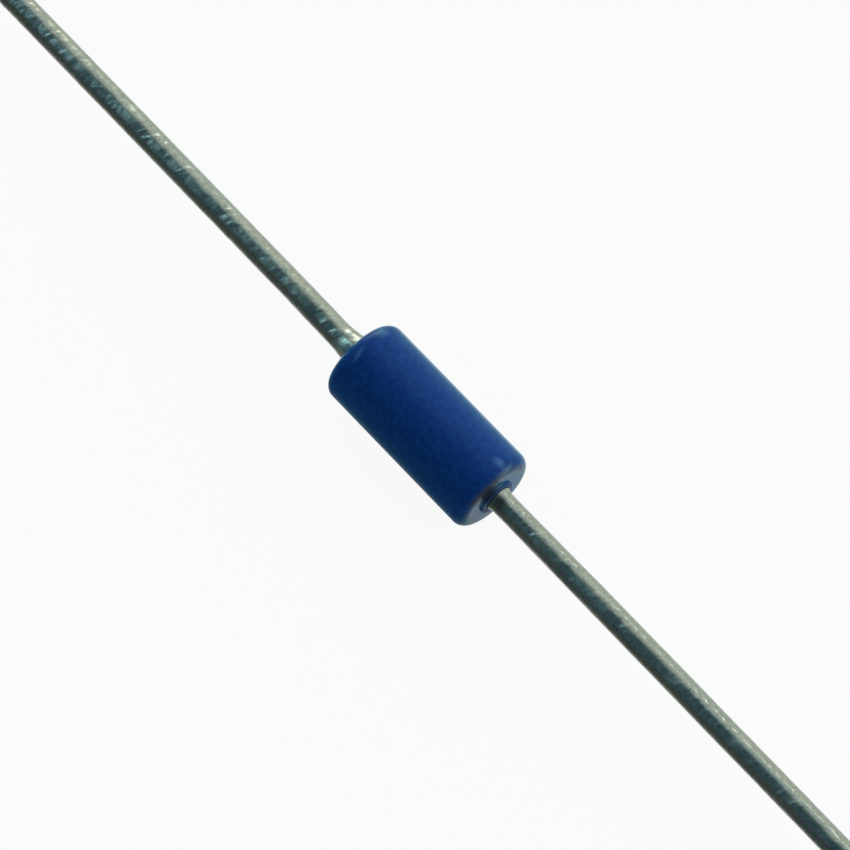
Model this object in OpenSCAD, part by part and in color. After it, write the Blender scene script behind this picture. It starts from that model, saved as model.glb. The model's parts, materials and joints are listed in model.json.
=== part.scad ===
// Axial zener diode: a silicon chip soldered between two nail-headed copper leads and
// moulded into a round epoxy case.
// The diode lies along X with its origin at the centre of the case. The anode lead runs
// out along +X and the cathode lead along -X. Sizes are in millimetres.

/* [Case] */
// Diameter of the moulded case
case_d = 2.95; // [2.79:0.01:3.2]
// Length of the case between its two end faces
case_l = 6.35; // [5.8:0.01:7]
// Radius of the rounded rim at each end of the case
rim_r = 0.38; // [0.1:0.01:0.5]

/* [Collars] */
// Width of the low collar of resin round each lead, where it rises from the end face
collar_w = 0.235; // [0.2:0.005:0.3]
// Height of each collar above the end face
collar_h = 0.09; // [0.07:0.01:0.2]
// Rounding of the collar's outer edge
collar_edge_r = 0.06; // [0.02:0.01:0.07]

/* [Leads] */
// Diameter of the tinned copper wire
wire_d = 0.81; // [0.7:0.01:0.92]
// Length of each lead from the end face of the case to its cut tip
lead_l = 28; // [20:0.1:38]
// Chamfer that the cutter leaves round the tip
tip_chamfer = 0.05; // [0.01:0.01:0.15]
// Distance from the end face over which a flare of tin builds up on the cathode lead
cathode_flare_l = 1.04; // [0.8:0.01:2]
// How far the foot of that flare stays in from the rounded edge of the collar
cathode_flare_inset = 0.005; // [0.005:0.005:0.02]
// Distance from the end face over which the tin grows thicker on the anode lead
anode_flare_l = 0.9; // [0.8:0.01:2]
// How proud of the anode wire that tin stands where it meets the collar
anode_flare_h = 0.02; // [0.01:0.005:0.06]

/* [Nail heads] */
// Thickness of the upset head on each lead
head_t = 0.3; // [0.2:0.01:0.5]
// How far each head reaches past the corners of the chip
head_margin = 0.1; // [0.07:0.01:0.16]
// Rounding of the rim of each head
head_edge_r = 0.06; // [0.02:0.01:0.09]
// Fillet between the head and the wire
head_fillet_r = 0.16; // [0.05:0.01:0.2]

/* [Chip] */
// Side of the square silicon chip
chip_w = 1.2; // [0.9:0.05:1.35]
// Full thickness of the chip
chip_t = 0.26; // [0.2:0.01:0.4]
// Height of the mesa that holds the junction, on the anode face of the chip
mesa_h = 0.08; // [0.03:0.01:0.15]
// Width of the etched moat round the mesa
moat_w = 0.1; // [0.05:0.01:0.15]

/* [Solder and coating] */
// Thickness of each solder joint
solder_t = 0.06; // [0.03:0.01:0.1]
// How far each solder joint stays in from the edge of the face that it wets
solder_inset = 0.02; // [0.01:0.01:0.06]
// Corner radius of each solder joint
solder_corner_r = 0.12; // [0.05:0.01:0.2]
// Thickness of the junction coating past the corners of the chip
coating_w = 0.06; // [0.03:0.01:0.065]
// Radius of the coating's bulging side, seen in section
coating_bulge_r = 0.5; // [0.35:0.05:1.5]

/* [Hidden] */
$fn = 96;

// Overshoot that carries a cut past the face it starts from
cut_past = 0.5;

// Places along the axis, measured out from the centre of the case
face_at = case_l / 2;
collar_top_at = face_at + collar_h;
tip_at = face_at + lead_l;
head_front_at = chip_t / 2 + solder_t;
head_back_at = head_front_at + head_t;

// Radii from the axis
case_r = case_d / 2;
wire_r = wire_d / 2;
collar_r = wire_r + collar_w;
collar_top_r = collar_r - collar_edge_r;
cathode_flare_h = collar_top_r - cathode_flare_inset - wire_r;
chip_corner_r = chip_w / sqrt(2);
head_r = chip_corner_r + head_margin;
coating_r = chip_corner_r + coating_w;

// Faces of the chip that take solder
mesa_w = chip_w - 2 * moat_w;
cathode_pad_w = chip_w - 2 * solder_inset;
anode_pad_w = mesa_w - 2 * solder_inset;

CASE_BLUE = "#1f4680";
TINNED_COPPER = "#a9aea4";
SILICON = "#4a4d54";
SOLDER = "#8f9296";
SILICONE = "#b9b4a6";

// Turns a shape that stands along +Z so that it points out along the anode lead, +X
module toward_anode() rotate([0, 90, 0]) children();

// Turns a shape that stands along +Z so that it points out along the cathode lead, -X
module toward_cathode() rotate([0, -90, 0]) children();

// A concave fillet that fills the inner corner at [x, y]
module corner_fillet(x, y, radius) {
    translate([x, y]) difference() {
        square(radius);
        translate([radius, radius]) circle(radius);
    }
}

// Half section of one nail head: a disc with a rounded rim that swells from the wire
module head_section() {
    translate([0, head_front_at]) square([head_r - head_edge_r, head_t]);
    translate([0, head_front_at + head_edge_r]) square([head_r, head_t - 2 * head_edge_r]);
    for (at = [head_front_at + head_edge_r, head_back_at - head_edge_r])
        translate([head_r - head_edge_r, at]) circle(head_edge_r);
    corner_fillet(wire_r, head_back_at, head_fillet_r);
}

// Half section of the room that one head and its wire take up in the case
module held_section() {
    head_section();
    translate([0, head_front_at]) square([wire_r, collar_top_at + cut_past - head_front_at]);
}

// Half section of one end of the case, from its middle out: rounded rim, flat face and the
// low collar of resin round the lead
module case_end_section() {
    square([case_r, face_at - rim_r]);
    square([case_r - rim_r, face_at]);
    translate([case_r - rim_r, face_at - rim_r]) circle(rim_r);
    square([collar_r, collar_top_at - collar_edge_r]);
    square([collar_top_r, collar_top_at]);
    translate([collar_top_r, collar_top_at - collar_edge_r]) circle(collar_edge_r);
}

// Half section of the tin that flares from the wire to the top of the collar: one long
// concave arc, level with the wire at its far end
module flare_section(flare_l, flare_h) {
    run = flare_l - collar_h;
    arc_r = (run * run + flare_h * flare_h) / (2 * flare_h);
    difference() {
        translate([0, collar_top_at]) square([wire_r + flare_h, run]);
        translate([wire_r + arc_r, face_at + flare_l]) circle(arc_r, $fn = 720);
    }
}

// Half section of a plain lead: nail head, wire and cut tip
module lead_section() {
    head_section();
    translate([0, head_front_at]) square([wire_r, tip_at - tip_chamfer - head_front_at]);
    polygon([
        [0, tip_at - tip_chamfer],
        [wire_r, tip_at - tip_chamfer],
        [wire_r - tip_chamfer, tip_at],
        [0, tip_at],
    ]);
}

// Half section of the junction coating: it fills the gap between the heads and bulges out
module coating_section() {
    intersection() {
        translate([0, -head_front_at]) square([coating_r, 2 * head_front_at]);
        union() {
            translate([coating_r - coating_bulge_r, 0]) circle(coating_bulge_r);
            translate([0, -head_front_at]) square([chip_corner_r, 2 * head_front_at]);
        }
    }
}

// A square plate that lies across the axis between two places on it
module plate(width, from, to) {
    translate([from, -width / 2, -width / 2]) cube([to - from, width, width]);
}

// A solder joint with round corners that lies across the axis between two places on it
module solder_joint(width, from, to) {
    straight = width - 2 * solder_corner_r;
    translate([from, 0, 0]) toward_anode() linear_extrude(to - from) {
        square([width, straight], center = true);
        square([straight, width], center = true);
        for (x = [-straight / 2, straight / 2], y = [-straight / 2, straight / 2])
            translate([x, y]) circle(solder_corner_r);
    }
}

// The moulded epoxy case, closed tightly round all that it holds
module case() {
    color(CASE_BLUE) toward_anode() rotate_extrude() difference() {
        union() {
            case_end_section();
            mirror([0, 1]) case_end_section();
        }
        held_section();
        mirror([0, 1]) held_section();
        coating_section();
    }
}

module cathode_lead() {
    color(TINNED_COPPER) toward_cathode() rotate_extrude() {
        lead_section();
        flare_section(cathode_flare_l, cathode_flare_h);
    }
}

module anode_lead() {
    color(TINNED_COPPER) toward_anode() rotate_extrude() {
        lead_section();
        flare_section(anode_flare_l, anode_flare_h);
    }
}

// The silicon chip: a square plate with a mesa standing on its anode face
module chip() {
    color(SILICON) {
        plate(chip_w, -chip_t / 2, chip_t / 2 - mesa_h);
        plate(mesa_w, -chip_t / 2, chip_t / 2);
    }
}

module cathode_solder() {
    color(SOLDER) solder_joint(cathode_pad_w, -head_front_at, -chip_t / 2);
}

module anode_solder() {
    color(SOLDER) solder_joint(anode_pad_w, chip_t / 2, head_front_at);
}

// The silicone that seals the edge of the chip, all the way between the two heads
module junction_coating() {
    color(SILICONE) difference() {
        toward_anode() rotate_extrude() coating_section();
        chip();
        cathode_solder();
        anode_solder();
    }
}

case();
cathode_lead();
anode_lead();
chip();
cathode_solder();
anode_solder();
junction_coating();
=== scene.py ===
"""Dresses an axial zener diode: a blue moulded epoxy case between two tinned copper leads.

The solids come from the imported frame. The case and the leads are turned again here with
fine edges, a wavy tin coat and soft moulded skin, and each finish is a node material.
Lengths are written in millimetres and turned to metres by one constant.
"""

import json
import logging
import math
from dataclasses import dataclass, field
from enum import Enum
from typing import ClassVar

import bmesh
import bpy
from mathutils import Matrix, Vector, noise

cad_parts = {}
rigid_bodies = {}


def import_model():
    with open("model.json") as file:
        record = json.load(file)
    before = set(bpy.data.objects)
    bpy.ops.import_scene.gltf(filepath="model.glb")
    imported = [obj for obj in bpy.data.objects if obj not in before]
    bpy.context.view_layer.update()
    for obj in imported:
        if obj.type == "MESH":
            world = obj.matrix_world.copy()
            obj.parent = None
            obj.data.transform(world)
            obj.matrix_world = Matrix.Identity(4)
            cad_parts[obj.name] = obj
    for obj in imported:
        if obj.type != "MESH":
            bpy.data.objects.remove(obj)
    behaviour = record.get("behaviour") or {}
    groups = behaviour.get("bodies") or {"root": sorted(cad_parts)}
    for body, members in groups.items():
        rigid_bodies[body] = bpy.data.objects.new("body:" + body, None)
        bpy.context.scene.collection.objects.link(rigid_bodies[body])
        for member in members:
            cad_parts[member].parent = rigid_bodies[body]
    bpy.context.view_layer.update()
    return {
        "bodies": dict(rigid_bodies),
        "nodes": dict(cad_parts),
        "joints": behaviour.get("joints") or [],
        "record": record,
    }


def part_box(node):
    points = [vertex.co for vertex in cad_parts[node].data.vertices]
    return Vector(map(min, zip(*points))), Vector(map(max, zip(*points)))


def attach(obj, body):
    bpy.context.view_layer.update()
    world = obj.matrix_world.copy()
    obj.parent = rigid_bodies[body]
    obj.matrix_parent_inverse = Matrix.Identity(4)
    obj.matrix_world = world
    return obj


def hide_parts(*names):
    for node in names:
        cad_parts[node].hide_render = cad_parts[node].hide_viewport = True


log = logging.getLogger("zener_diode")

MM = 0.001
UM = 0.000001
BODY = "root"

# In metres: points this near to each other are one, and a ring's points lie this near to it
WELD = 1e-9
ON_RING = 1e-8

WHITE = (1.0, 1.0, 1.0, 1.0)

# Three numbers along X, Y and Z, a pair of numbers, and places in a row with their colours
Triple = tuple[float, float, float]
Span = tuple[float, float]
Stops = tuple[tuple[float, str], ...]


class Way(Enum):
    """Which way along the X axis a lead points, seen from the middle of the case."""

    ANODE = 1.0
    CATHODE = -1.0


# ------------ Colours and nodes ------------


def linear(colour: str) -> tuple[float, float, float, float]:
    """Turns an sRGB hex colour, such as "#1f4680", into a shader's linear one."""
    channels = [int(colour[i : i + 2], 16) / 255 for i in (1, 3, 5)]
    return (*(c / 12.92 if c <= 0.04045 else ((c + 0.055) / 1.055) ** 2.4 for c in channels), 1.0)


def add_node(
    tree: bpy.types.NodeTree,
    kind: str,
    inputs: dict[str | int, object] | None = None,
    stops: Stops = (),
    **settings: object,
) -> bpy.types.Node:
    """Adds a node with its settings, and fills or links its inputs.

    Args:
        tree: The node tree that takes the node.
        kind: The node's type name.
        inputs: A value or another node's output for each input, by name or number.
        stops: The place and the colour of each stop, in order, where it is a colour ramp.
        **settings: The node's own properties.

    Returns:
        The new node.
    """
    node = tree.nodes.new(kind)
    for name, value in settings.items():
        setattr(node, name, value)
    for socket, value in (inputs or {}).items():
        if isinstance(value, bpy.types.NodeSocket):
            tree.links.new(value, node.inputs[socket])
        else:
            node.inputs[socket].default_value = value
    elements = node.color_ramp.elements if stops else []
    while len(elements) < len(stops):
        elements.new(1.0)
    for element, (place, colour) in zip(elements, stops):
        element.position = place
        element.color = linear(colour)
    return node


def real_size(
    tree: bpy.types.NodeTree, size_mm: Triple, place: bpy.types.NodeSocket | None = None
) -> bpy.types.NodeSocket:
    """Gives coordinates in which one unit of a pattern has a real size.

    Args:
        tree: The material's node tree.
        size_mm: What one unit of the pattern measures along X, Y and Z, in millimetres.
        place: The coordinates to scale, in metres, or None for the piece's own.

    Returns:
        The scaled coordinates.
    """
    if place is None:
        place = add_node(tree, "ShaderNodeTexCoord").outputs["Object"]
    scale = tuple(1 / (size * MM) for size in size_mm)
    return add_node(tree, "ShaderNodeMapping", {"Vector": place, "Scale": scale}).outputs["Vector"]


def graded(
    tree: bpy.types.NodeTree, value: bpy.types.NodeSocket, colours: Stops, unit: float
) -> bpy.types.NodeSocket:
    """Gives a colour that changes with a value.

    Args:
        tree: The node tree.
        value: The value, such as a place or an angle.
        colours: What the value is at each colour, and that colour, in order.
        unit: What one of them measures in the value's own unit.

    Returns:
        The colour.
    """
    start, end = colours[0][0], colours[-1][0]
    inputs = {"Value": value, "From Min": start * unit, "From Max": end * unit}
    share = add_node(tree, "ShaderNodeMapRange", inputs).outputs["Result"]
    stops = tuple(((at - start) / (end - start), colour) for at, colour in colours)
    return add_node(tree, "ShaderNodeValToRGB", {"Fac": share}, stops).outputs["Color"]


def new_material(name: str) -> tuple[bpy.types.Material, bpy.types.NodeTree]:
    """Makes a material with an empty node tree.

    Args:
        name: The material's name.

    Returns:
        The material and its node tree.
    """
    material = bpy.data.materials.new(name)
    material.use_nodes = True
    material.node_tree.nodes.clear()
    return material, material.node_tree


# ------------ Finishes ------------


@dataclass(frozen=True)
class Mark:
    """A faint soft-edged patch of colour on a skin, used here for painted highlights and painted
    shade.

    Attributes:
        place: The middle of the mark, in millimetres.
        half: Half of its extent along its own X, Y and Z, in millimetres.
        turn: How it is turned about X, Y and Z, in degrees.
        colour: Its colour.
        strength: How much of that colour it has in its middle.
        core: Share of its extent over which it has its full strength.
    """

    place: Triple
    half: Triple
    turn: Triple
    colour: str
    strength: float
    core: float = 0.1

    def share(self, tree: bpy.types.NodeTree) -> bpy.types.NodeSocket:
        """Gives how much of the mark each place has.

        Args:
            tree: The material's node tree.

        Returns:
            The share, from 0 outside the mark to its strength in its middle.
        """
        inputs = {
            "Vector": add_node(tree, "ShaderNodeTexCoord").outputs["Object"],
            "Location": tuple(length * MM for length in self.place),
            "Rotation": tuple(math.radians(angle) for angle in self.turn),
            "Scale": tuple(length * MM for length in self.half),
        }
        own = add_node(tree, "ShaderNodeMapping", inputs, vector_type="TEXTURE").outputs[0]
        away = add_node(tree, "ShaderNodeVectorMath", {0: own}, operation="LENGTH")
        inputs = {
            "Value": away.outputs["Value"],
            "From Min": 1.0,
            "From Max": self.core,
            "To Max": self.strength,
        }
        share = add_node(tree, "ShaderNodeMapRange", inputs, interpolation_type="SMOOTHSTEP")
        return share.outputs["Result"]


@dataclass(frozen=True)
class MouldedEpoxy:
    """Blue transfer-moulded epoxy, filled with ground silica.

    The filler leaves a faint mottle in the pigment, and the mould's wall prints a very fine
    pebble on the skin. Wax from the mould leaves a thin bloom that shows at a low angle.
    The collars, where resin bled out along the leads, are dull. Dust lies on the worn rims
    and round the collars. Pale patches are painted highlights at both rims and on the anode
    collar's edges, a dark line along the anode rim is a painted dark reflection, and a dark
    patch above the anode collar is painted shade for the lead's dark reflection on the end
    face, where the skin also mirrors less.

    Attributes:
        pigment: The pigment's colours, from where the mottle is darkest to where it is
            palest.
        mottle_mm: Size of the mottle. The filler's own grains are a tenth of that, too fine
            to show, so it is drawn as coarse as it needs to show.
        satin: Where in the mottle the skin is smoothest and roughest.
        roughness: Its roughness there.
        specular: How strongly the skin mirrors.
        shade_patch_specular: How strongly the skin mirrors under the painted shade patch.
        dull_roughness: Roughness of the collars.
        fade_mm: Distance over which the skin turns dull at a collar.
        bloom: Colour of the wax bloom.
        bloom_weight: How strong it is.
        bloom_roughness: How far it spreads from the edges.
        pebble_mm: Size of the pebble.
        pebble_um: Its height.
        painted_light_marks: Painted highlights at both rims and on the anode collar's edges, and a
        painted dark reflection along the anode rim.
        painted_light_and_shade: Painted shade above the anode collar, for the lead's dark
        reflection on the end face.
        dust: Colour of the dust on the worn rims.
        collar_dust: Colour of the dust on the collars.
        dust_share: How much of it shows.
        dust_mm: How far it reaches from the rim of the flat face, along the case and in.
    """

    pigment: Stops = ((0.3, "#133780"), (0.5, "#18408b"), (0.72, "#1e4a96"))
    mottle_mm: float = 0.18
    satin: Span = (0.3, 0.7)
    roughness: Span = (0.12, 0.2)
    specular: float = 0.1
    shade_patch_specular: float = 0.02
    dull_roughness: float = 0.5
    fade_mm: float = 0.03
    bloom: str = "#1cf0e2"
    bloom_weight: float = 0.3
    bloom_roughness: float = 0.45
    pebble_mm: float = 0.07
    pebble_um: float = 0.5
    painted_light_marks: tuple[Mark, ...] = (
        # Painted highlights where lamps reflect at the start of the anode rim's rounding
        Mark((2.83, 0.45, 1.39), (0.36, 0.22, 0.2), (0.0, 0.0, 6.0), "#74a4d6", 0.32),
        Mark((3.1, 0.42, 1.21), (0.17, 0.5, 0.17), (-8.0, 0.0, 7.0), "#8fa2b4", 0.6),
        # Painted highlights where lamps reflect at the cathode rim
        Mark((-2.86, 0.69, 1.27), (0.3, 0.42, 0.42), (0.0, 0.0, 0.0), "#6c97ba", 0.42),
        Mark((-2.74, -0.37, 1.4), (0.11, 0.45, 0.25), (14.0, 0.0, 13.0), "#6f9fd0", 0.3),
        # Painted dark reflection along the anode rim's edge
        Mark((3.16, -0.38, 1.05), (0.2, 1.2, 0.3), (15.0, 0.0, 0.0), "#594d4b", 0.9),
        # Painted highlights where the anode collar's edges catch light
        Mark((3.22, -0.57, 0.3), (0.1, 0.16, 0.24), (0.0, 0.0, 0.0), "#8b9cae", 0.6),
        Mark((3.18, 0.1, 0.64), (0.07, 0.34, 0.16), (0.0, 0.0, 0.0), "#8f9aa4", 0.6),
    )
    # Painted shade above the anode collar: the lead's dark reflection on the end face
    painted_light_and_shade: Mark = Mark((3.2, -0.38, 0.8), (0.5, 0.68, 0.68), (15.0, 0.0, 0.0), "#30323f", 0.97)
    dust: str = "#6a665f"
    collar_dust: str = "#55708c"
    dust_share: float = 0.4
    dust_mm: Span = (0.1, 0.2)

    def ring_share(
        self, tree: bpy.types.NodeTree, out_range: Span, radius_range: Span
    ) -> bpy.types.NodeSocket:
        """Gives a share that is 1 on a ring at each end of the case and 0 elsewhere.

        Args:
            tree: The material's node tree.
            out_range: Distances from the middle between which the share rises.
            radius_range: Radii between which the share rises.

        Returns:
            The share.
        """
        place = add_node(tree, "ShaderNodeTexCoord").outputs["Object"]
        part = add_node(tree, "ShaderNodeSeparateXYZ", {0: place}).outputs
        out = add_node(tree, "ShaderNodeMath", {0: part["X"]}, operation="ABSOLUTE").outputs[0]
        across = add_node(tree, "ShaderNodeCombineXYZ", {1: part["Y"], 2: part["Z"]}).outputs[0]
        radius = add_node(tree, "ShaderNodeVectorMath", {0: across}, operation="LENGTH")
        shares = []
        for length, (none, full) in (
            (out, out_range),
            (radius.outputs["Value"], radius_range),
        ):
            inputs = {"Value": length, "From Min": none, "From Max": full}
            shares.append(add_node(tree, "ShaderNodeMapRange", inputs).outputs["Result"])
        both = add_node(tree, "ShaderNodeMath", dict(enumerate(shares)), operation="MULTIPLY")
        return both.outputs[0]

    def material(self, face: float, flat_r: float, collar_r: float) -> bpy.types.Material:
        """Builds the node material.

        Args:
            face: Distance from the middle to each end face.
            flat_r: Radius of the flat part of each end face, inside the rounded rim.
            collar_r: Radius of each collar.

        Returns:
            The material.
        """
        material, tree = new_material("moulded_epoxy")
        inputs = {"Scale": 1.0, "Detail": 4.0, "Roughness": 0.6}
        inputs["Vector"] = real_size(tree, (self.mottle_mm,) * 3)
        mottle = add_node(tree, "ShaderNodeTexNoise", inputs).outputs["Fac"]
        pigment = add_node(tree, "ShaderNodeValToRGB", {"Fac": mottle}, self.pigment)

        rise, inward = (length * MM for length in self.dust_mm)
        rim = self.ring_share(tree, (face - rise, face), (flat_r - inward, flat_r))
        fade = self.fade_mm * MM
        collar = self.ring_share(tree, (face - fade, face), (collar_r + fade, collar_r))
        layers = []
        for worn, dust in ((rim, self.dust), (collar, self.collar_dust)):
            inputs = {0: worn, 1: self.dust_share}
            dusty = add_node(tree, "ShaderNodeMath", inputs, operation="MULTIPLY")
            layers.append((dusty.outputs[0], dust))
        # Share of the painted shade above the anode collar; there the skin also mirrors less and
        # has no bloom
        painted_shade = self.painted_light_and_shade.share(tree)
        # Painted highlights and a painted dark reflection at the rims and the collar's edges
        layers += [(mark.share(tree), mark.colour) for mark in self.painted_light_marks]
        layers.append((painted_shade, self.painted_light_and_shade.colour))
        colour = pigment.outputs["Color"]
        for share, over in layers:
            inputs = {"Factor": share, "A": colour, "B": linear(over)}
            colour = add_node(tree, "ShaderNodeMix", inputs, data_type="RGBA").outputs["Result"]

        inputs = {
            "Value": mottle,
            "From Min": self.satin[0],
            "From Max": self.satin[1],
            "To Min": self.roughness[0],
            "To Max": self.roughness[1],
        }
        satin = add_node(tree, "ShaderNodeMapRange", inputs).outputs["Result"]
        inputs = {"Factor": collar, "A": satin, "B": self.dull_roughness}
        rough = add_node(tree, "ShaderNodeMix", inputs).outputs["Result"]
        inputs = {"Value": painted_shade, "To Min": self.specular, "To Max": self.shade_patch_specular}
        shine = add_node(tree, "ShaderNodeMapRange", inputs).outputs["Result"]
        bare = add_node(tree, "ShaderNodeMath", {0: collar, 1: painted_shade}, operation="MAXIMUM")
        inputs = {"Value": bare.outputs[0], "To Min": self.bloom_weight, "To Max": 0.0}
        bloom = add_node(tree, "ShaderNodeMapRange", inputs).outputs["Result"]

        inputs = {"Scale": 1.0, "Detail": 3.0, "Vector": real_size(tree, (self.pebble_mm,) * 3)}
        pebble = add_node(tree, "ShaderNodeTexNoise", inputs).outputs["Fac"]
        inputs = {"Height": pebble, "Distance": self.pebble_um * UM}
        skin = add_node(tree, "ShaderNodeBump", inputs)
        inputs = {
            "Base Color": colour,
            "Roughness": rough,
            "Specular IOR Level": shine,
            "Sheen Weight": bloom,
            "Sheen Roughness": self.bloom_roughness,
            "Sheen Tint": linear(self.bloom),
            "Normal": skin.outputs["Normal"],
        }
        shader = add_node(tree, "ShaderNodeBsdfPrincipled", inputs)
        add_node(tree, "ShaderNodeOutputMaterial", {"Surface": shader.outputs["BSDF"]})
        return material


@dataclass(frozen=True)
class TinnedCopper:
    """Copper wire with a dipped matt tin coat.

    The coat wanders in thickness, has a fine crystalline grain, and carries shallow dents
    that the feed rollers pressed aslant across the wire. Together they break each
    reflection into soft strokes and blotches. By the case the tin carries painted light and
    shade: painted shade for the dark reflection at the anode root, and on the cathode flare
    painted highlights out along the lead and painted shade over the highlight nearer the case.

    Attributes:
        tin: The tin's colours, from the dull grains to the bright ones.
        smooth: Where in the waves the tin is smoothest and roughest.
        roughness: Its roughness there.
        wave_mm: Size of the waves in the coat, along and across the wire.
        wave_um: Their height.
        dent_mm: Size of the dents, along and across the wire.
        dent_um: Their depth.
        dent_edge: Where in their pattern the dents start and where they are full.
        dent_slant: How far they lean along the wire, for each unit across it.
        grain_mm: Size of the grains. Real ones are a few micrometres, too fine to show, so
            they are drawn as coarse as they need to show.
        grain_um: Their height.
        painted_light_and_shade: The painted shade and painted highlights by the case, in order.
    """

    tin: Stops = ((0.35, "#9d9f95"), (0.6, "#b4b4a8"))
    smooth: Span = (0.35, 0.65)
    roughness: Span = (0.2, 0.32)
    wave_mm: Span = (0.62, 1.0)
    wave_um: float = 62.0
    dent_mm: Span = (0.34, 0.8)
    dent_um: float = 9.0
    dent_edge: Span = (0.45, 0.75)
    dent_slant: float = 0.5
    grain_mm: float = 0.1
    grain_um: float = 1.0
    painted_light_and_shade: tuple[Mark, ...] = (
        # Painted shade: the dark reflection on the anode lead by its root
        Mark((3.5, -0.18, 0.36), (0.42, 0.38, 0.38), (0.0, 0.0, 0.0), "#857069", 0.9),
        # Painted highlights: the pale teal reflection on the cathode flare, out from the case
        Mark((-3.62, -0.38, 0.28), (0.5, 0.2, 0.2), (0.0, 0.0, 0.0), "#dcf0ec", 0.9),
        Mark((-3.64, -0.1, 0.46), (0.26, 0.1, 0.3), (0.0, 0.0, 23.0), "#e6f2e0", 0.85),
        # Painted shade over the cathode flare's highlight, nearer the case
        Mark((-3.36, -0.18, 0.46), (0.4, 0.2, 0.3), (0.0, 0.0, 23.0), "#3f4c58", 0.95),
    )

    def dents(self, tree: bpy.types.NodeTree) -> bpy.types.NodeSocket:
        """Gives the roller dents: soft strokes that lie aslant across the wire.

        Args:
            tree: The material's node tree.

        Returns:
            The height of the skin, from 0 to 1.
        """
        place = add_node(tree, "ShaderNodeTexCoord").outputs["Object"]
        part = add_node(tree, "ShaderNodeSeparateXYZ", {0: place}).outputs
        inputs = {0: part["Y"], 1: -self.dent_slant, 2: part["X"]}
        slant = add_node(tree, "ShaderNodeMath", inputs, operation="MULTIPLY_ADD")
        inputs = {0: slant.outputs[0], 1: part["Y"], 2: part["Z"]}
        slanted = add_node(tree, "ShaderNodeCombineXYZ", inputs).outputs[0]
        along, across = self.dent_mm
        inputs = {"Scale": 1.0, "Detail": 1.0}
        inputs["Vector"] = real_size(tree, (along, across, across), slanted)
        pattern = add_node(tree, "ShaderNodeTexNoise", inputs).outputs["Fac"]
        start, full = self.dent_edge
        inputs = {"Value": pattern, "From Min": start, "From Max": full}
        strokes = add_node(tree, "ShaderNodeMapRange", inputs, interpolation_type="SMOOTHSTEP")
        return strokes.outputs["Result"]

    def material(self) -> bpy.types.Material:
        """Builds the node material.

        Returns:
            The material.
        """
        material, tree = new_material("tinned_copper")
        along, across = self.wave_mm
        inputs = {"Scale": 1.0, "Detail": 2.0, "Roughness": 0.42}
        inputs["Vector"] = real_size(tree, (along, across, across))
        waves = add_node(tree, "ShaderNodeTexNoise", inputs).outputs["Fac"]
        inputs = {"Scale": 1.0, "Detail": 2.0, "Roughness": 0.6}
        inputs["Vector"] = real_size(tree, (self.grain_mm,) * 3)
        grain = add_node(tree, "ShaderNodeTexNoise", inputs).outputs["Fac"]
        colour = add_node(tree, "ShaderNodeValToRGB", {"Fac": grain}, self.tin).outputs["Color"]
        # Lays the painted highlights and painted shade over the tin's colour
        for mark in self.painted_light_and_shade:
            inputs = {"Factor": mark.share(tree), "A": colour, "B": linear(mark.colour)}
            colour = add_node(tree, "ShaderNodeMix", inputs, data_type="RGBA").outputs["Result"]
        inputs = {
            "Value": waves,
            "From Min": self.smooth[0],
            "From Max": self.smooth[1],
            "To Min": self.roughness[0],
            "To Max": self.roughness[1],
        }
        rough = add_node(tree, "ShaderNodeMapRange", inputs).outputs["Result"]
        inputs = {"Height": waves, "Distance": self.wave_um * UM}
        normal = add_node(tree, "ShaderNodeBump", inputs).outputs["Normal"]
        for height, height_um in ((grain, self.grain_um), (self.dents(tree), self.dent_um)):
            inputs = {"Height": height, "Distance": height_um * UM, "Normal": normal}
            normal = add_node(tree, "ShaderNodeBump", inputs).outputs["Normal"]
        inputs = {"Base Color": colour, "Metallic": 1.0, "Roughness": rough, "Normal": normal}
        shader = add_node(tree, "ShaderNodeBsdfPrincipled", inputs)
        add_node(tree, "ShaderNodeOutputMaterial", {"Surface": shader.outputs["BSDF"]})
        return material


@dataclass(frozen=True)
class LappedSilicon:
    """Lapped silicon with a dark, faintly blue oxide that shows saw marks at its edges.

    Attributes:
        oxide: The oxide's colours, from one shade of its clouds to the other.
        metallic: How far it mirrors as metal does.
        roughness: Its roughness.
        cloud_mm: Size of the clouds.
        scratch_mm: Length and width of the saw marks.
        scratch_um: Their depth.
    """

    oxide: Stops = ((0.4, "#4a4d55"), (0.65, "#3c4152"))
    metallic: float = 0.6
    roughness: float = 0.3
    cloud_mm: float = 0.3
    scratch_mm: Span = (0.4, 0.012)
    scratch_um: float = 0.4

    def material(self) -> bpy.types.Material:
        """Builds the node material.

        Returns:
            The material.
        """
        material, tree = new_material("lapped_silicon")
        inputs = {"Scale": 1.0, "Detail": 3.0, "Vector": real_size(tree, (self.cloud_mm,) * 3)}
        cloud = add_node(tree, "ShaderNodeTexNoise", inputs).outputs["Fac"]
        oxide = add_node(tree, "ShaderNodeValToRGB", {"Fac": cloud}, self.oxide)
        long, thin = self.scratch_mm
        inputs = {"Scale": 1.0, "Detail": 1.0, "Vector": real_size(tree, (thin, long, thin))}
        scratches = add_node(tree, "ShaderNodeTexNoise", inputs).outputs["Fac"]
        inputs = {"Height": scratches, "Distance": self.scratch_um * UM}
        skin = add_node(tree, "ShaderNodeBump", inputs)
        inputs = {
            "Base Color": oxide.outputs["Color"],
            "Metallic": self.metallic,
            "Roughness": self.roughness,
            "Normal": skin.outputs["Normal"],
        }
        shader = add_node(tree, "ShaderNodeBsdfPrincipled", inputs)
        add_node(tree, "ShaderNodeOutputMaterial", {"Surface": shader.outputs["BSDF"]})
        return material


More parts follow.
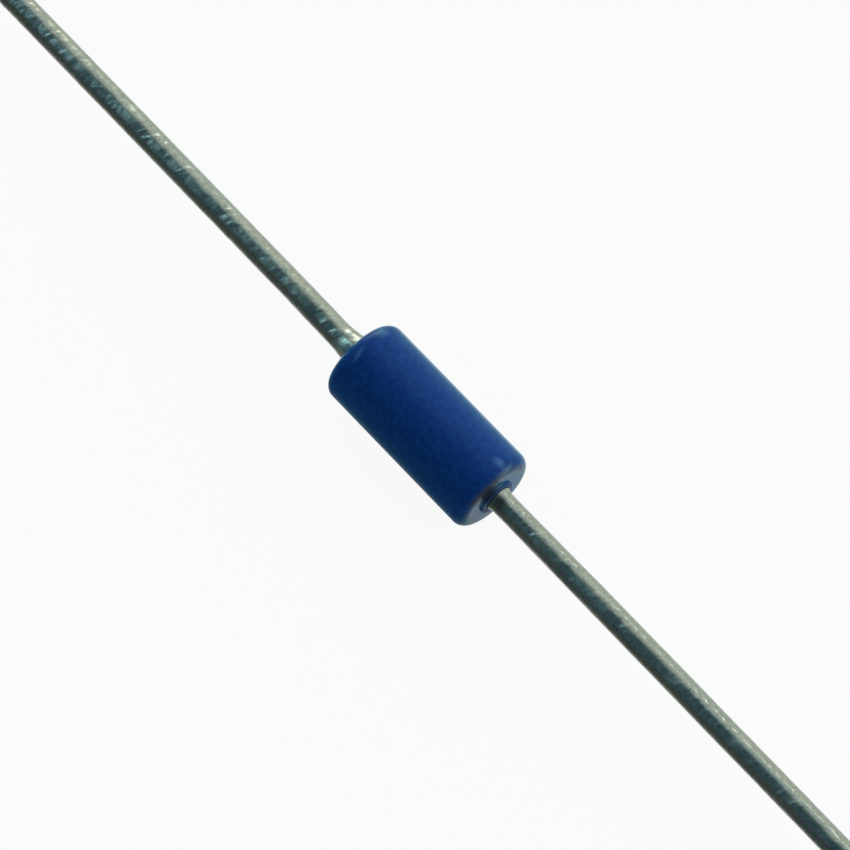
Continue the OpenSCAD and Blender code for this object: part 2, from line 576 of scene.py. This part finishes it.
@dataclass(frozen=True)
class LeadSolder:
    """High-lead solder, dull grey with a frosted, finely crystalline skin.

    Attributes:
        frost: The frost's colours, from the middle of a crystal to its edge.
        roughness: Its roughness.
        crystal_mm: Size of the crystals.
        crystal_um: Their height.
    """

    frost: Stops = ((0.1, "#7d7f82"), (0.6, "#9a9b9c"))
    roughness: float = 0.42
    crystal_mm: float = 0.05
    crystal_um: float = 1.0

    def material(self) -> bpy.types.Material:
        """Builds the node material.

        Returns:
            The material.
        """
        material, tree = new_material("lead_solder")
        inputs = {"Scale": 1.0, "Vector": real_size(tree, (self.crystal_mm,) * 3)}
        crystals = add_node(tree, "ShaderNodeTexVoronoi", inputs).outputs["Distance"]
        frost = add_node(tree, "ShaderNodeValToRGB", {"Fac": crystals}, self.frost)
        inputs = {"Height": crystals, "Distance": self.crystal_um * UM}
        skin = add_node(tree, "ShaderNodeBump", inputs)
        inputs = {
            "Base Color": frost.outputs["Color"],
            "Metallic": 1.0,
            "Roughness": self.roughness,
            "Normal": skin.outputs["Normal"],
        }
        shader = add_node(tree, "ShaderNodeBsdfPrincipled", inputs)
        add_node(tree, "ShaderNodeOutputMaterial", {"Surface": shader.outputs["BSDF"]})
        return material


@dataclass(frozen=True)
class CoatingSilicone:
    """Milky silicone rubber, cured in place: soft, slightly cloudy and faintly wet.

    Attributes:
        milk: The rubber's colours, from its clear places to its cloudy ones.
        roughness: Its roughness.
        ior: Its index of refraction.
        cloud_mm: Size of the clouds.
        cloud_um: How proud they stand.
    """

    milk: Stops = ((0.35, "#b5ae9c"), (0.65, "#cfcabb"))
    roughness: float = 0.45
    ior: float = 1.41
    cloud_mm: float = 0.2
    cloud_um: float = 2.0

    def material(self) -> bpy.types.Material:
        """Builds the node material.

        Returns:
            The material.
        """
        material, tree = new_material("coating_silicone")
        inputs = {"Scale": 1.0, "Detail": 3.0, "Vector": real_size(tree, (self.cloud_mm,) * 3)}
        cloud = add_node(tree, "ShaderNodeTexNoise", inputs).outputs["Fac"]
        milk = add_node(tree, "ShaderNodeValToRGB", {"Fac": cloud}, self.milk)
        inputs = {"Height": cloud, "Distance": self.cloud_um * UM}
        skin = add_node(tree, "ShaderNodeBump", inputs)
        inputs = {
            "Base Color": milk.outputs["Color"],
            "Roughness": self.roughness,
            "IOR": self.ior,
            "Normal": skin.outputs["Normal"],
        }
        shader = add_node(tree, "ShaderNodeBsdfPrincipled", inputs)
        add_node(tree, "ShaderNodeOutputMaterial", {"Surface": shader.outputs["BSDF"]})
        return material


# ------------ Turned shapes ------------


@dataclass(frozen=True)
class Ring:
    """One ring of a turned shape.

    Attributes:
        at: The ring's place along the axis, in metres.
        radius: The ring's radius, in metres, or zero on the axis.
        rounding: The radius that its corner is rounded to, in metres, or zero.
    """

    at: float
    radius: float
    rounding: float = 0.0


@dataclass(frozen=True)
class Turning:
    """Turns a section of rings about the X axis into a closed mesh.

    Attributes:
        rings: The section, in order.
        steps: How many faces go round.
        loop: True joins the last ring to the first, round a bore.
        rounding_segments: How many faces a rounded corner has.
    """

    rings: list[Ring]
    steps: int
    loop: bool = False
    rounding_segments: int = 10

    def build(self) -> bmesh.types.BMesh:
        """Spins the section and rounds its corners.

        Returns:
            The turned mesh, with its faces outwards.
        """
        shape = bmesh.new()
        points = [shape.verts.new((r.at, 0.0, r.radius)) for r in self.rings]
        ends = points[1:] + points[:1] if self.loop else points[1:]
        section = [shape.edges.new(pair) for pair in zip(points, ends)]
        bmesh.ops.spin(
            shape,
            geom=points + section,
            cent=(0, 0, 0),
            axis=(1, 0, 0),
            angle=math.tau,
            steps=self.steps,
            use_merge=True,
        )
        bmesh.ops.remove_doubles(shape, verts=shape.verts, dist=WELD)
        bmesh.ops.dissolve_degenerate(shape, edges=shape.edges, dist=WELD)
        for ring in self.rings:
            if ring.rounding:
                self.round_corner(shape, ring)
        bmesh.ops.recalc_face_normals(shape, faces=shape.faces)
        return shape

    def round_corner(self, shape: bmesh.types.BMesh, ring: Ring) -> None:
        """Rounds the corner at one ring.

        Args:
            shape: The turned mesh.
            ring: The ring whose edges are rounded.
        """

        def on_ring(vert: bmesh.types.BMVert) -> bool:
            """Says whether a vertex lies on the ring."""
            radius = math.hypot(vert.co.y, vert.co.z)
            return abs(vert.co.x - ring.at) < ON_RING and abs(radius - ring.radius) < ON_RING

        edges = [e for e in shape.edges if all(on_ring(v) for v in e.verts)]
        bmesh.ops.bevel(
            shape,
            geom=edges,
            offset=ring.rounding,
            offset_type="OFFSET",
            segments=self.rounding_segments,
            profile=0.5,
            affect="EDGES",
            material=-1,
            clamp_overlap=False,
        )


def finish_piece(
    name: str, shape: bmesh.types.BMesh, material: bpy.types.Material
) -> bpy.types.Object:
    """Makes an object of a finished mesh and dresses it.

    Args:
        name: The piece's name.
        shape: The mesh, which is freed.
        material: The piece's finish.

    Returns:
        The object, at the origin, with smooth faces.
    """
    for face in shape.faces:
        face.smooth = True
    mesh = bpy.data.meshes.new(name)
    shape.to_mesh(mesh)
    shape.free()
    mesh.materials.append(material)
    piece = bpy.data.objects.new(name, mesh)
    bpy.context.scene.collection.objects.link(piece)
    return piece


# ------------ The diode ------------


@dataclass(frozen=True)
class Section:
    """Sizes that the case and the leads share, in metres.

    Attributes:
        COLLAR_H: How far each collar stands proud of the end face.
        case_r: Radius of the case.
        face: Distance from the middle to each end face of the case.
        wire_r: Radius of the wire, from the pin mounts.
        head_r: Radius of the nail heads.
        head_front: Distance from the middle to the face of each head on the solder.
        coating_r: Largest radius of the junction coating.
        tip: Distance from the middle to each cut tip.
        rim_r: Radius of the case's rounded rims.
        collar_w: Width of the collar of resin round each lead.
        collar_edge_r: Rounding of the collar's outer edge.
        flare_inset: How far the cathode flare's foot stays in from that rounding.
        head_t: Thickness of each nail head.
        head_edge_r: Rounding of its rim.
        head_fillet_r: Fillet between the head and the wire.
        coating_bulge_r: Radius of the coating's bulging side, seen in section.
    """

    COLLAR_H: ClassVar[float] = 0.09 * MM

    case_r: float
    face: float
    wire_r: float
    head_r: float
    head_front: float
    coating_r: float
    tip: float
    rim_r: float = 0.38 * MM
    collar_w: float = 0.235 * MM
    collar_edge_r: float = 0.06 * MM
    flare_inset: float = 0.005 * MM
    head_t: float = 0.3 * MM
    head_edge_r: float = 0.06 * MM
    head_fillet_r: float = 0.16 * MM
    coating_bulge_r: float = 0.5 * MM

    @classmethod
    def from_frame(cls, frame: dict) -> "Section":
        """Reads the sizes that the frame holds.


        Returns:
            The shared sizes.
        """
        mounts = {m["name"]: m for m in frame["record"]["mounts"]}
        lead_low, lead_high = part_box("anode_lead")
        case_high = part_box("case")[1]
        return cls(
            case_r=case_high.z,
            face=case_high.x - cls.COLLAR_H,
            wire_r=mounts["anode_pin"]["dims"]["r_mm"] * MM,
            head_r=lead_high.z,
            head_front=lead_low.x,
            coating_r=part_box("junction_coating")[1].z,
            tip=lead_high.x,
        )

    @property
    def head_back(self) -> float:
        """Distance from the middle to the back of each nail head."""
        return self.head_front + self.head_t

    @property
    def collar_top(self) -> float:
        """Distance from the middle to the top of each collar."""
        return self.face + self.COLLAR_H

    @property
    def collar_r(self) -> float:
        """Radius of each collar."""
        return self.wire_r + self.collar_w

    def head_outline(self, way: Way) -> list[Ring]:
        """Gives the outline of one nail head.

        Args:
            way: Which way its lead points.

        Returns:
            The rings, from the head's face to the wire.
        """
        side = way.value
        return [
            Ring(side * self.head_front, self.head_r, self.head_edge_r),
            Ring(side * self.head_back, self.head_r, self.head_edge_r),
            Ring(side * self.head_back, self.wire_r, self.head_fillet_r),
        ]


@dataclass
class EpoxyCase:
    """The moulded case, with its cavity for all that it holds.

    Attributes:
        section: The shared sizes.
        skin: The finish.
        steps: Faces round the case.
        support: How close a holding ring stands to a rounded edge.
        root_r: Fillet that the mould leaves where the collar meets the face.
        bulge_rings: Rings on each half of the coating's bulging side.
    """

    section: Section
    skin: MouldedEpoxy = field(default_factory=MouldedEpoxy)
    steps: int = 192
    support: float = 0.02 * MM
    root_r: float = 0.02 * MM
    bulge_rings: int = 6

    def outside(self, way: Way) -> list[Ring]:
        """Gives the outer outline of one end.

        Args:
            way: Which way that end points.

        Returns:
            The rings, from the middle out to the collar's top.
        """
        s, side = self.section, way.value
        return [
            Ring(side * (s.face - s.rim_r - self.support), s.case_r),
            Ring(side * s.face, s.case_r, s.rim_r),
            Ring(side * s.face, s.case_r - s.rim_r - self.support),
            Ring(side * s.face, s.collar_r + self.root_r + self.support),
            Ring(side * s.face, s.collar_r, self.root_r),
            Ring(side * s.collar_top, s.collar_r, s.collar_edge_r),
            Ring(side * s.collar_top, s.collar_r - s.collar_edge_r - self.support),
            Ring(side * s.collar_top, s.wire_r),
        ]

    def coating_side(self, way: Way) -> list[Ring]:
        """Gives one half of the junction coating's bulging side.

        Args:
            way: Which way that half lies.

        Returns:
            The rings, from the nail head to the middle.
        """
        s = self.section
        places = [s.head_front * (1 - i / self.bulge_rings) for i in range(self.bulge_rings)]
        centre = s.coating_r - s.coating_bulge_r
        return [
            Ring(way.value * x, centre + math.sqrt(s.coating_bulge_r**2 - x * x)) for x in places
        ]

    def cavity(self, way: Way) -> list[Ring]:
        """Gives the cavity of one end, from the wire's bore in to the middle."""
        return [*reversed(self.section.head_outline(way)), *self.coating_side(way)]

    def build(self) -> bpy.types.Object:
        """Turns the case and dresses it.

        Returns:
            The finished piece.
        """
        rings = [
            *reversed(self.outside(Way.CATHODE)),
            *self.outside(Way.ANODE),
            *self.cavity(Way.ANODE),
            Ring(0.0, self.section.coating_r),
            *reversed(self.cavity(Way.CATHODE)),
        ]
        shape = Turning(rings, self.steps, loop=True).build()
        s = self.section
        skin = self.skin.material(s.face, s.case_r - s.rim_r, s.collar_r)
        piece = finish_piece("epoxy_case", shape, skin)
        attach(piece, BODY)
        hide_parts("case")
        return piece


@dataclass
class TinnedLead:
    """One lead: a nail head, the wire and a cut tip, with a flare of tin by the case.

    Attributes:
        section: The shared sizes.
        way: Which way the lead points.
        skin: The finish, shared by both leads.
        flare_l: Distance from the end face over which the tin flares.
        flare_h: How proud of the wire the flare stands where it meets the collar.
        coat_um: How much thicker the tin coat is than on a plain wire, first by the case
            and then out along the lead, in micrometres.
        side_um: How far the coat has sagged to the +Y side, by the case and out along the
            lead, in micrometres.
        root_um: How much thicker the tin is at its very root, in micrometres.
        root_mm: Distance over which that fades out, in millimetres.
        coat_turn_mm: Distance from the case over which coat and sag change, in millimetres.
        flare_lean: Share of the flare that is missing on the -Y side.
        tip_chamfer: Chamfer at the cut tip.
        steps: Faces round the wire.
        corner_steps: Faces across each rounded corner.
        pitch: Distance between rings along the wire.
        flare_pitch: Distance between rings along the flare.
        wave_um: How far the tin coat's thickness wanders, in micrometres.
        wave_mm: Length of one wave along and across the wire, in millimetres.
        wave_shift: How far each lead is moved in the wander's pattern, in waves, so that
            the two differ.
        wave_fade: Distance from the collar over which the wander sets in.
    """

    section: Section
    way: Way
    skin: bpy.types.Material
    flare_l: float
    flare_h: float
    coat_um: Span
    side_um: Span
    root_um: float
    root_mm: float
    coat_turn_mm: float = 3.0
    flare_lean: float = 0.0
    tip_chamfer: float = 0.05 * MM
    steps: int = 72
    corner_steps: int = 6
    pitch: float = 0.07 * MM
    flare_pitch: float = 0.03 * MM
    wave_um: float = 4.0
    wave_mm: Span = (0.5, 0.22)
    wave_shift: float = 40.0
    wave_fade: float = 0.28 * MM

    def flare(self) -> list[Ring]:
        """Gives the concave arc of tin beside the case.

        Returns:
            The rings, from the collar's top out to the plain wire.
        """
        s = self.section
        run = s.face + self.flare_l - s.collar_top
        arc_r = (run**2 + self.flare_h**2) / (2 * self.flare_h)
        count = round(run / self.flare_pitch)
        lefts = [run * (1 - i / count) for i in range(count + 1)]
        return [
            Ring(s.collar_top + run - left, s.wire_r + arc_r - math.sqrt(arc_r**2 - left**2))
            for left in lefts
        ]

    def outline(self) -> list[Ring]:
        """Gives the whole half section.

        Returns:
            The rings, from the axis at the head to the axis at the tip.
        """
        s = self.section
        return [
            Ring(s.head_front, 0.0),
            *s.head_outline(Way.ANODE),
            Ring(s.collar_top, s.wire_r),
            *self.flare(),
            Ring(s.tip - self.tip_chamfer, s.wire_r),
            Ring(s.tip, s.wire_r - self.tip_chamfer),
            Ring(s.tip, 0.0),
        ]

    def ring_wire(self, shape: bmesh.types.BMesh) -> None:
        """Cuts the long wire into short rings.

        Outside the case only the plain wire has edges longer than ten such rings.

        Args:
            shape: The turned lead, pointing along +X.
        """
        start = self.section.collar_top - self.pitch / 2
        long_edges = [
            edge
            for edge in shape.edges
            if abs(edge.verts[0].co.x - edge.verts[1].co.x) > 10 * self.pitch
            and min(vert.co.x for vert in edge.verts) > start
        ]
        cuts = round(long_edges[0].calc_length() / self.pitch) - 1
        bmesh.ops.subdivide_edges(shape, edges=long_edges, cuts=cuts, use_grid_fill=True)

    def coat(self, out: float, toward: float) -> float:
        """Gives how much thicker the tin coat is than on a plain wire.

        Args:
            out: Distance from the collar's top.
            toward: The way that the surface faces, from -1 at -Y to 1 at +Y.

        Returns:
            The extra thickness, in metres.
        """
        turned = min(out / (self.coat_turn_mm * MM), 1.0)
        even, side = (near + (far - near) * turned for near, far in (self.coat_um, self.side_um))
        root = max(1.0 - out / (self.root_mm * MM), 0.0) ** 2
        return (even + side * toward + self.root_um * root) * UM

    def wave(self, shape: bmesh.types.BMesh) -> None:
        """Lets the tin coat swell, sag and wander in thickness outside the case.

        Args:
            shape: The turned lead, pointing along +X.
        """
        s = self.section
        along, across = (length * MM for length in self.wave_mm)
        for vert in shape.verts:
            out = vert.co.x - s.collar_top
            radial = Vector((0.0, vert.co.y, vert.co.z))
            held = out < self.flare_pitch / 2 and radial.length < s.wire_r + self.flare_h / 2
            if out < -self.flare_pitch / 2 or held or radial.length < s.wire_r / 2:
                continue  # inside the case, at the mouth of its bore, or on the axis
            toward = self.way.value * radial.y / radial.length
            place = Vector((vert.co.x / along, vert.co.y / across, vert.co.z / across))
            place.x += self.wave_shift * self.way.value
            set_in = min(max(out / self.wave_fade, 0.0), 1.0)
            wander = noise.noise(place) * self.wave_um * UM * set_in
            missing = max(radial.length - s.wire_r, 0.0) * self.flare_lean * (1 - toward) / 2
            swell = self.coat(max(out, 0.0), toward) + wander - missing
            vert.co += radial.normalized() * swell

    def build(self) -> bpy.types.Object:
        """Turns the lead and dresses it.

        Returns:
            The finished piece.
        """
        shape = Turning(self.outline(), self.steps, rounding_segments=self.corner_steps).build()
        self.ring_wire(shape)
        self.wave(shape)
        if self.way is Way.CATHODE:
            bmesh.ops.rotate(shape, verts=shape.verts, matrix=Matrix.Rotation(math.pi, 3, "Z"))
        name = self.way.name.lower()
        piece = finish_piece(f"{name}_wire", shape, self.skin)
        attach(piece, BODY)
        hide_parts(f"{name}_lead")
        return piece


@dataclass
class SealedStack:
    """What the case hides: the chip, its two solder joints and the junction coating.

    The frame's own solids have the right shape, so they only get their finishes.

    Attributes:
        silicon: Finish of the chip.
        solder: Finish of both joints.
        silicone: Finish of the coating.
    """

    silicon: LappedSilicon = field(default_factory=LappedSilicon)
    solder: LeadSolder = field(default_factory=LeadSolder)
    silicone: CoatingSilicone = field(default_factory=CoatingSilicone)

    def dress(self, nodes: dict[str, bpy.types.Object]) -> None:
        """Gives each solid its finish.

        Args:
            nodes: The frame's nodes, by name.
        """
        solder = self.solder.material()
        finishes = {
            "chip": self.silicon.material(),
            "cathode_solder": solder,
            "anode_solder": solder,
            "junction_coating": self.silicone.material(),
        }
        for name, material in finishes.items():
            nodes[name].data.materials.clear()
            nodes[name].data.materials.append(material)
            log.info("dressed %s in %s", name, material.name)


# ------------ The studio ------------


@dataclass(frozen=True)
class Softbox:
    """A soft lamp far away in the light tent.

    Attributes:
        way: Direction in which it hangs, seen from the diode.
        core: Angle from its middle within which it has its full strength, in degrees.
        reach: Angle from its middle at which it has faded out, in degrees.
        colour: Its colour.
        strength: Its radiance.
    """

    way: Triple
    core: float
    reach: float
    colour: str
    strength: float

    def add_to(
        self,
        tree: bpy.types.NodeTree,
        look: bpy.types.NodeSocket,
        light: bpy.types.NodeSocket,
    ) -> bpy.types.NodeSocket:
        """Adds the lamp to the light that comes from each direction.

        Args:
            tree: The world's node tree.
            look: The direction.
            light: The light from it without this lamp.

        Returns:
            The light with this lamp.
        """
        way = Vector(self.way).normalized()
        near = add_node(tree, "ShaderNodeVectorMath", {0: look, 1: way}, operation="DOT_PRODUCT")
        edge, core = (math.cos(math.radians(angle)) for angle in (self.reach, self.core))
        inputs = {"Value": near.outputs["Value"], "From Min": edge, "From Max": core}
        glow = add_node(tree, "ShaderNodeMapRange", inputs, interpolation_type="SMOOTHSTEP")
        radiance = tuple(c * self.strength for c in linear(self.colour)[:3])
        inputs = {0: glow.outputs["Result"], 1: radiance, 2: light}
        total = add_node(tree, "ShaderNodeVectorMath", inputs, operation="MULTIPLY_ADD")
        return total.outputs["Vector"]


@dataclass
class Studio:
    """A pale floor under a light tent that is open on the -Y side.

    Attributes:
        floor_z: Height of the floor.
        floor_r: Radius of the floor.
        floor_steps: How many edges go round it.
        paper: Colour of the floor.
        camera_glow: How much of the floor's white comes from itself for the camera.
        mirror_glow: How much of what the floor shows in reflections comes from itself.
        floor_painted_light: Places along Y where the floor's own glow in reflections changes, in
        millimetres, and its colour there: painted shade on the -Y side and in a band near
        5 mm on +Y, painted light elsewhere.
        tent: The turn about the X axis from straight up towards +Y, in degrees, and the
            tent's colour there.
        lamps: The soft lamps in the tent.
        azimuth: Where the camera stands, in degrees round the diode.
        elevation: How high the camera stands, in degrees.
        distance: From the camera to the middle of the view.
        near: The nearest that the camera sees.
        far: The farthest that it sees.
        sensor_w: Width of its sensor, in millimetres as Blender takes it.
        aim: The middle of the view.
        view_w: Width of what the camera sees there.
    """

    floor_z: float
    floor_r: float = 1500 * MM
    floor_steps: int = 64
    paper: str = "#f4f4f2"
    camera_glow: float = 0.93
    mirror_glow: float = 0.9
    # Painted light and shade on the floor, as reflections see it
    floor_painted_light: Stops = (
        (-8.0, "#43504f"),
        (-4.0, "#454c4a"),
        (-2.6, "#5a5e5c"),
        (-1.4, "#9a9f9e"),
        (-0.7, "#f4fbf6"),
        (0.0, "#fbffff"),
        (3.4, "#f6fffb"),
        (4.9, "#c4ced0"),
        (6.5, "#d2dedd"),
        (9.0, "#f0fbf6"),
    )
    tent: Stops = (
        (-90.0, "#475356"),
        (-60.0, "#4a5f69"),
        (-33.0, "#41606c"),
        (-15.0, "#3e5e6a"),
        (-2.0, "#48646e"),
        (7.0, "#76909a"),
        (17.0, "#acc1c6"),
        (29.0, "#d0e3e2"),
        (45.0, "#dceae8"),
        (70.0, "#dae8e2"),
        (90.0, "#e6f2ec"),
    )
    lamps: tuple[Softbox, ...] = (
        Softbox((-0.75, 0.62, 0.22), 12.0, 26.0, "#f4fbf2", 2.8),
        Softbox((-0.59, -0.69, 0.42), 4.0, 12.5, "#a4d2e0", 0.8),
        Softbox((-0.59, -0.47, 0.65), 4.0, 12.5, "#a4d2e0", 1.6),
        Softbox((-0.59, -0.15, 0.79), 4.0, 12.5, "#a4d2e0", 1.9),
        Softbox((-0.05, 0.81, 0.58), 4.0, 9.0, "#eef8ff", 1.6),
        Softbox((0.84, 0.51, 0.16), 4.0, 10.0, "#b4e4f4", 6.0),
    )
    azimuth: float = 48.06
    elevation: float = 67.98
    distance: float = 145 * MM
    near: float = 7.25 * MM
    far: float = 10000 * MM
    sensor_w: float = 36.0
    aim: Triple = (-0.043 * MM, -0.034 * MM, 0.004 * MM)
    view_w: float = 26.31 * MM

    def set_camera(self) -> None:
        """Places the camera so that it looks at the middle of the diode from above."""
        data = bpy.data.cameras.new("camera")
        data.sensor_width = self.sensor_w
        data.lens = self.sensor_w * self.distance / self.view_w
        data.clip_start = self.near
        data.clip_end = self.far
        camera = bpy.data.objects.new("camera", data)
        bpy.context.scene.collection.objects.link(camera)
        turn, rise = math.radians(self.azimuth), math.radians(self.elevation)
        back = Vector((math.sin(turn), -math.cos(turn), 0.0)) * math.cos(rise)
        back.z = math.sin(rise)
        camera.location = Vector(self.aim) + back * self.distance
        camera.rotation_mode = "QUATERNION"
        camera.rotation_quaternion = (-back).to_track_quat("-Z", "Y")
        bpy.context.scene.camera = camera

    def floor_material(self) -> bpy.types.Material:
        """Builds pale paper that shows white and keeps a soft shadow.

        In reflections the paper shows its own glow as painted light and shade along Y: pale on its
        +Y side and dark on -Y, as in a tent that is open on -Y.

        Returns:
            The material.
        """
        material, tree = new_material("pale_paper")
        path = add_node(tree, "ShaderNodeLightPath").outputs
        seen, glossy, through = (
            path[name] for name in ("Is Camera Ray", "Is Glossy Ray", "Is Transmission Ray")
        )
        mirrored = add_node(tree, "ShaderNodeMath", {0: glossy, 1: through}, operation="MAXIMUM")
        inputs = {0: mirrored.outputs[0], 1: self.mirror_glow}
        mirrored = add_node(tree, "ShaderNodeMath", inputs, operation="MULTIPLY")
        inputs = {0: seen, 1: self.camera_glow, 2: mirrored.outputs[0]}
        share = add_node(tree, "ShaderNodeMath", inputs, operation="MULTIPLY_ADD")
        place = add_node(tree, "ShaderNodeTexCoord").outputs["Object"]
        across = add_node(tree, "ShaderNodeSeparateXYZ", {0: place}).outputs["Y"]
        # The camera sees plain white; reflections see the painted light and shade along Y
        inputs = {"Factor": seen, "A": graded(tree, across, self.floor_painted_light, MM), "B": WHITE}
        glow = add_node(tree, "ShaderNodeMix", inputs, data_type="RGBA").outputs["Result"]
        paper = add_node(tree, "ShaderNodeBsdfDiffuse", {"Color": linear(self.paper)})
        white = add_node(tree, "ShaderNodeEmission", {"Color": glow})
        inputs = {0: share.outputs[0], 1: paper.outputs[0], 2: white.outputs[0]}
        mixed = add_node(tree, "ShaderNodeMixShader", inputs)
        add_node(tree, "ShaderNodeOutputMaterial", {"Surface": mixed.outputs[0]})
        return material

    def lay_floor(self) -> None:
        """Lays a round sheet of pale paper under the diode."""
        shape = bmesh.new()
        steps = self.floor_steps
        bmesh.ops.create_circle(shape, cap_ends=True, segments=steps, radius=self.floor_r)
        bmesh.ops.translate(shape, verts=shape.verts, vec=(0, 0, self.floor_z))
        finish_piece("floor", shape, self.floor_material())

    def light_tent(self) -> None:
        """Lights the diode from a pale tent on the +Y side, with a dim room on the other."""
        world = bpy.data.worlds.new("light_tent")
        bpy.context.scene.world = world
        world.use_nodes = True
        tree = world.node_tree
        tree.nodes.clear()
        look = add_node(tree, "ShaderNodeTexCoord").outputs["Generated"]
        part = add_node(tree, "ShaderNodeSeparateXYZ", {0: look}).outputs
        turn = add_node(tree, "ShaderNodeMath", {0: part["Y"], 1: part["Z"]}, operation="ARCTAN2")
        light = graded(tree, turn.outputs[0], self.tent, math.radians(1.0))
        for lamp in self.lamps:
            light = lamp.add_to(tree, look, light)
        tent = add_node(tree, "ShaderNodeBackground", {"Color": light})
        white = add_node(tree, "ShaderNodeBackground", {"Color": WHITE})
        seen = add_node(tree, "ShaderNodeLightPath").outputs["Is Camera Ray"]
        inputs = {0: seen, 1: tent.outputs[0], 2: white.outputs[0]}
        mixed = add_node(tree, "ShaderNodeMixShader", inputs)
        add_node(tree, "ShaderNodeOutputWorld", {"Surface": mixed.outputs[0]})

    def build(self) -> None:
        """Sets up the camera, the floor and the light."""
        self.set_camera()
        self.lay_floor()
        self.light_tent()
        bpy.context.scene.view_settings.view_transform = "Standard"


def main() -> None:
    """Builds the studio and each part of the diode in turn."""
    logging.basicConfig(level=logging.INFO, format="%(name)s: %(message)s")
    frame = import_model()
    section = Section.from_frame(frame)
    Studio(floor_z=-section.case_r).build()
    tin = TinnedCopper().material()
    pieces = [
        EpoxyCase(section).build(),
        TinnedLead(
            section,
            Way.CATHODE,
            tin,
            flare_l=1.04 * MM,
            flare_h=section.collar_w - section.collar_edge_r - section.flare_inset,
            coat_um=(30.0, 25.0),
            side_um=(4.0, 34.0),
            root_um=-12.0,
            root_mm=0.5,
            flare_lean=0.5,
        ).build(),
        TinnedLead(
            section,
            Way.ANODE,
            tin,
            flare_l=0.9 * MM,
            flare_h=0.02 * MM,
            coat_um=(-16.0, 7.0),
            side_um=(20.0, 30.0),
            coat_turn_mm=4.5,
            root_um=55.0,
            root_mm=0.2,
        ).build(),
    ]
    for piece in pieces:
        log.info("built %s with %d faces", piece.name, len(piece.data.polygons))
    SealedStack().dress(frame["nodes"])


if __name__ == "__main__":
    main()
